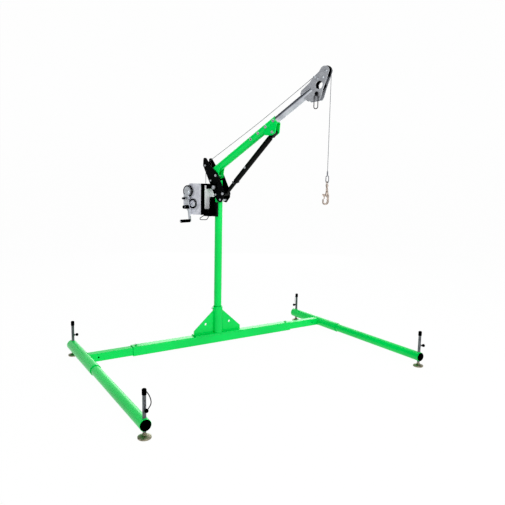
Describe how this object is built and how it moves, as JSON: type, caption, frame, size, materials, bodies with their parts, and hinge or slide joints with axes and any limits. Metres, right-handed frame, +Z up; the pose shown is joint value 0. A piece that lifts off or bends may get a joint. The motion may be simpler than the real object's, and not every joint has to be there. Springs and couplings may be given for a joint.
{
  "type": "davit crane",
  "caption": "Portable davit crane on an adjustable H base with levelling jacks, a luffing telescopic arm, strut, side winch, wire rope and snap hook.",
  "frame": {"origin": "on the floor, in the middle of the base's footprint", "axes": "+X along the legs to their front ends, +Y across the base, +Z up; the arm points 20 degrees left of +X seen from above"},
  "size_m": [1.9904, 2.815, 2.6776],
  "materials": {
    "green_powder_coat": "gloss powder coat",
    "black_powder_coat": "satin powder coat",
    "zinc_plate": "bright zinc plate",
    "black_plastic": "moulded, satin",
    "satin_aluminium": "satin",
    "yellow_zinc": "yellow passivated zinc",
    "galvanised_wire": "galvanised wire",
    "black_cord": "braided cord",
    "dark_wire": "black coated wire",
    "black_nylon": "machined nylon",
    "cast_drum": "machined casting",
    "bronzed_steel": "bronze-tinted zinc"
  },
  "bodies": {
    "base": {"main_beam": "green_powder_coat", "sleeve_bush": "black_plastic", "clamp_bolts": "zinc_plate"},
    "left_side": {"left_tee": "green_powder_coat", "lr_jack_tube": "zinc_plate", "lr_jack_cap": "black_plastic"},
    "right_side": {"right_tee": "green_powder_coat", "rr_jack_tube": "zinc_plate", "rr_jack_cap": "black_plastic", "rr_lanyard": "galvanised_wire"},
    "left_leg": {"left_leg": "green_powder_coat", "left_leg_cap": "black_plastic", "lf_jack_tube": "zinc_plate", "lf_jack_cap": "black_plastic", "lf_lanyard": "black_cord"},
    "right_leg": {"right_leg": "green_powder_coat", "right_leg_cap": "black_plastic", "rf_jack_tube": "zinc_plate", "rf_jack_cap": "black_plastic"},
    "lf_foot": {"lf_jack_foot": "yellow_zinc"},
    "rf_foot": {"rf_jack_foot": "yellow_zinc"},
    "lr_foot": {"lr_jack_foot": "yellow_zinc"},
    "rr_foot": {"rr_jack_foot": "yellow_zinc"},
    "lf_pin": {"lf_jack_pin": "black_plastic"},
    "rf_pin": {"rf_jack_pin": "black_plastic"},
    "lr_pin": {"lr_jack_pin": "black_plastic"},
    "rr_pin": {"rr_jack_pin": "black_plastic"},
    "mast": {"mast_tube": "green_powder_coat", "bracket_plates": "black_powder_coat", "bracket_bolts": "zinc_plate", "winch_bracket": "black_powder_coat", "winch_frame": "black_powder_coat", "winch_cover_near": "satin_aluminium", "winch_cover_far": "satin_aluminium", "winch_front_panel": "satin_aluminium", "cable_riser": "galvanised_wire"},
    "winch_pin": {"winch_pin": "dark_wire"},
    "rear_pulley": {"rear_pulley": "black_nylon"},
    "drum": {"drum": "cast_drum"},
    "crank": {"pinion_shaft": "zinc_plate", "crank_arm": "satin_aluminium"},
    "crank_grip": {"crank_grip": "black_plastic"},
    "arm": {"arm_tube": "green_powder_coat", "arm_head_bolt": "zinc_plate", "cable_span_lower": "galvanised_wire"},
    "strut_lower": {"strut_lower": "black_powder_coat"},
    "strut_pin": {"strut_pin": "zinc_plate"},
    "strut_upper": {"strut_upper": "black_powder_coat", "strut_bolt": "zinc_plate"},
    "boom": {"boom_tube": "satin_aluminium", "head_plates": "satin_aluminium", "head_bolts": "zinc_plate", "cable_span_upper": "galvanised_wire"},
    "head_sheave": {"head_sheave": "black_nylon"},
    "head_pin": {"head_pin": "galvanised_wire"},
    "hook_line": {"cable_drop": "galvanised_wire"},
    "hook_eye": {"hook_eye": "galvanised_wire", "swivel_bail": "bronzed_steel"},
    "hook": {"hook": "bronzed_steel"},
    "hook_gate": {"hook_gate": "bronzed_steel"}
  },
  "joints": [
    {"name": "left_track", "type": "slide", "parent": "base", "child": "left_side", "axis": [0, -1, 0], "range_m": [-0.35, 0.14]},
    {"name": "right_track", "type": "slide", "parent": "base", "child": "right_side", "axis": [0, 1, 0], "range_m": [-0.35, 0.14]},
    {"name": "left_reach", "type": "slide", "parent": "left_side", "child": "left_leg", "axis": [1, 0, 0], "range_m": [-0.3, 0.1]},
    {"name": "right_reach", "type": "slide", "parent": "right_side", "child": "right_leg", "axis": [1, 0, 0], "range_m": [-0.3, 0.1]},
    {"name": "lf_jack", "type": "slide", "parent": "left_leg", "child": "lf_foot", "axis": [0, 0, 1], "range_m": [-0.15, 0]},
    {"name": "lf_pull_pin", "type": "slide", "parent": "left_leg", "child": "lf_pin", "axis": [1, 0, 0], "range_m": [0, 0.01], "stiffness_N_per_m": 900, "springref_m": -0.006, "deforming": ["lf_lanyard"]},
    {"name": "rf_jack", "type": "slide", "parent": "right_leg", "child": "rf_foot", "axis": [0, 0, 1], "range_m": [-0.15, 0]},
    {"name": "rf_pull_pin", "type": "slide", "parent": "right_leg", "child": "rf_pin", "axis": [0.5446, 0.8387, 0], "range_m": [0, 0.01], "stiffness_N_per_m": 900, "springref_m": -0.006},
    {"name": "lr_jack", "type": "slide", "parent": "left_side", "child": "lr_foot", "axis": [0, 0, 1], "range_m": [-0.15, 0]},
    {"name": "lr_pull_pin", "type": "slide", "parent": "left_side", "child": "lr_pin", "axis": [0, 1, 0], "range_m": [0, 0.01], "stiffness_N_per_m": 900, "springref_m": -0.006},
    {"name": "rr_jack", "type": "slide", "parent": "right_side", "child": "rr_foot", "axis": [0, 0, 1], "range_m": [-0.15, 0]},
    {"name": "rr_pull_pin", "type": "slide", "parent": "right_side", "child": "rr_pin", "axis": [0, -1, 0], "range_m": [0, 0.01], "stiffness_N_per_m": 900, "springref_m": -0.006, "deforming": ["rr_lanyard"]},
    {"name": "mast_swing", "type": "hinge", "parent": "base", "child": "mast", "pos_m": [-0.53275, 0, 0.151], "axis": [0, 0, 1], "continuous": true},
    {"name": "winch_pin_pull", "type": "slide", "parent": "mast", "child": "winch_pin", "axis": [0.342, -0.9397, 0], "range_m": [0, 0.13]},
    {"name": "rear_pulley_turn", "type": "hinge", "parent": "mast", "child": "rear_pulley", "pos_m": [-0.66713, -0.04891, 1.86], "axis": [-0.342, 0.9397, 0], "range_deg": [-1115, 1955]},
    {"name": "drum_turn", "type": "hinge", "parent": "mast", "child": "drum", "pos_m": [-0.75452, -0.08072, 1.476], "axis": [-0.342, 0.9397, 0], "range_deg": [-1230, 700]},
    {"name": "crank_turn", "type": "hinge", "parent": "mast", "child": "crank", "pos_m": [-0.81466, -0.10261, 1.601], "axis": [-0.342, 0.9397, 0], "range_deg": [-1755, 3085]},
    {"name": "grip_turn", "type": "hinge", "parent": "crank", "child": "crank_grip", "pos_m": [-0.72326, -0.21513, 1.30173], "axis": [0.342, -0.9397, 0], "continuous": true},
    {"name": "arm_luff", "type": "hinge", "parent": "mast", "child": "arm", "pos_m": [-0.53275, 0, 1.761], "axis": [0.342, -0.9397, 0], "range_deg": [0, 15], "deforming": ["cable_span_lower", "cable_span_upper"]},
    {"name": "strut_swing", "type": "hinge", "parent": "mast", "child": "strut_lower", "pos_m": [-0.44536, 0.03181, 1.583], "axis": [0.342, -0.9397, 0], "range_deg": [-0.5, 14]},
    {"name": "strut_pin_slide", "type": "slide", "parent": "strut_lower", "child": "strut_pin", "axis": [0.342, -0.9397, 0], "range_m": [-0.005, 0.02]},
    {"name": "strut_stroke", "type": "slide", "parent": "strut_lower", "child": "strut_upper", "axis": [0.6645, 0.2418, 0.7071], "range_m": [-0.0002, 0.05]},
    {"name": "boom_reach", "type": "slide", "parent": "arm", "child": "boom", "axis": [0.7986, 0.2907, 0.527], "range_m": [-0.2, 0.15], "deforming": ["cable_span_lower", "cable_span_upper"]},
    {"name": "head_sheave_turn", "type": "hinge", "parent": "boom", "child": "head_sheave", "pos_m": [0.58141, 0.40552, 2.63263], "axis": [-0.342, 0.9397, 0], "range_deg": [-978, 1716]},
    {"name": "head_pin_pull", "type": "slide", "parent": "boom", "child": "head_pin", "axis": [0.342, -0.9397, 0], "range_m": [0, 0.07]},
    {"name": "hook_line_plumb", "type": "hinge", "parent": "boom", "child": "hook_line", "pos_m": [0.58141, 0.40552, 2.63263], "axis": [0.342, -0.9397, 0], "range_deg": [-15.5, 0.5]},
    {"name": "hook_lift", "type": "slide", "parent": "hook_line", "child": "hook_eye", "axis": [0, 0, 1], "range_m": [-1.228, 0.7], "deforming": ["cable_drop"]},
    {"name": "hook_swivel", "type": "hinge", "parent": "hook_eye", "child": "hook", "pos_m": [0.61994, 0.41954, 1.6723], "axis": [0, 0, 1], "continuous": true},
    {"name": "gate_swing", "type": "hinge", "parent": "hook", "child": "hook_gate", "pos_m": [0.61994, 0.41954, 1.6003], "axis": [0.8387, -0.5446, 0], "range_deg": [0, 18], "stiffness_Nm_per_rad": 0.25, "springref_deg": -17.19}
  ],
  "couplings": [
    {"joint": "crank_turn", "follows": "drum_turn", "ratio": -2.5},
    {"joint": "rear_pulley_turn", "follows": "drum_turn", "ratio": -1.5833},
    {"joint": "head_sheave_turn", "follows": "drum_turn", "ratio": -1.3902},
    {"joint": "hook_lift", "follows": "drum_turn", "m_per_rad": 0.057},
    {"joint": "strut_swing", "follows": "arm_luff", "ratio": 0.90582},
    {"joint": "strut_stroke", "follows": "arm_luff", "m_per_rad": 0.18271},
    {"joint": "hook_line_plumb", "follows": "arm_luff", "ratio": -1}
  ]
}
